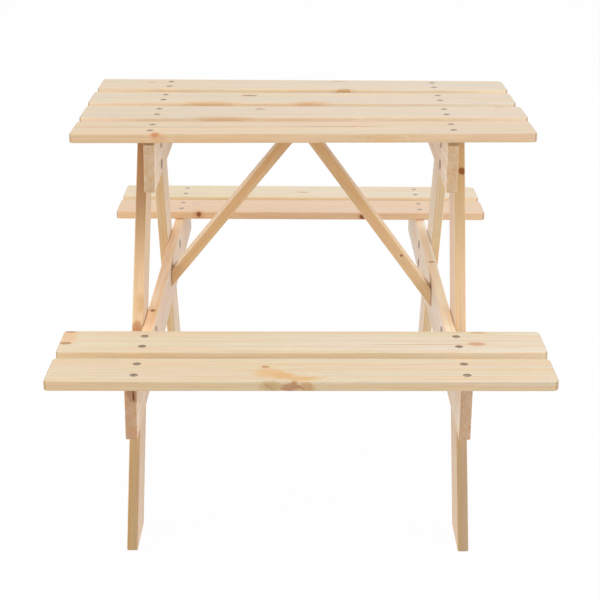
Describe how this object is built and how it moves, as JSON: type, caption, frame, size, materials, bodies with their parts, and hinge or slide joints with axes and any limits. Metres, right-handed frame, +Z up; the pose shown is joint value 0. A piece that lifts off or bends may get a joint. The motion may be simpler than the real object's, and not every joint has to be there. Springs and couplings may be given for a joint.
{
  "type": "kids picnic table",
  "caption": "Child-size A-frame picnic table of unfinished pine boards, with a fixed slatted bench on each long side and diagonal braces under the top.",
  "frame": {"origin": "on the ground, under the middle of the table", "axes": "+X along the boards towards the right end, +Y across the table towards the rear bench, +Z up"},
  "size_m": [0.6, 0.911, 0.503],
  "materials": {
    "board_pine": "planed and unfinished",
    "frame_pine": "planed and unfinished",
    "zinc_steel": "dull zinc plate"
  },
  "bodies": {
    "root": {"table_board_1": "board_pine", "table_board_2": "board_pine", "table_board_3": "board_pine", "table_board_4": "board_pine", "front_bench_board_1": "board_pine", "front_bench_board_2": "board_pine", "rear_bench_board_1": "board_pine", "rear_bench_board_2": "board_pine", "left_top_rail": "frame_pine", "left_seat_rail": "frame_pine", "left_front_leg": "frame_pine", "left_rear_leg": "frame_pine", "left_brace": "frame_pine", "right_top_rail": "frame_pine", "right_seat_rail": "frame_pine", "right_front_leg": "frame_pine", "right_rear_leg": "frame_pine", "right_brace": "frame_pine", "centre_batten": "frame_pine", "table_screw_1": "zinc_steel", "table_screw_2": "zinc_steel", "table_screw_3": "zinc_steel", "table_screw_4": "zinc_steel", "table_screw_5": "zinc_steel", "table_screw_6": "zinc_steel", "table_screw_7": "zinc_steel", "table_screw_8": "zinc_steel", "table_screw_9": "zinc_steel", "table_screw_10": "zinc_steel", "table_screw_11": "zinc_steel", "table_screw_12": "zinc_steel", "table_screw_13": "zinc_steel", "table_screw_14": "zinc_steel", "table_screw_15": "zinc_steel", "table_screw_16": "zinc_steel", "front_bench_screw_1": "zinc_steel", "front_bench_screw_2": "zinc_steel", "front_bench_screw_3": "zinc_steel", "front_bench_screw_4": "zinc_steel", "front_bench_screw_5": "zinc_steel", "front_bench_screw_6": "zinc_steel", "front_bench_screw_7": "zinc_steel", "front_bench_screw_8": "zinc_steel", "rear_bench_screw_1": "zinc_steel", "rear_bench_screw_2": "zinc_steel", "rear_bench_screw_3": "zinc_steel", "rear_bench_screw_4": "zinc_steel", "rear_bench_screw_5": "zinc_steel", "rear_bench_screw_6": "zinc_steel", "rear_bench_screw_7": "zinc_steel", "rear_bench_screw_8": "zinc_steel", "left_top_front_joint_screw": "zinc_steel", "left_top_rear_joint_screw": "zinc_steel", "left_seat_front_joint_screw": "zinc_steel", "left_seat_rear_joint_screw": "zinc_steel", "right_top_front_joint_screw": "zinc_steel", "right_top_rear_joint_screw": "zinc_steel", "right_seat_front_joint_screw": "zinc_steel", "right_seat_rear_joint_screw": "zinc_steel"}
  },
  "joints": []
}
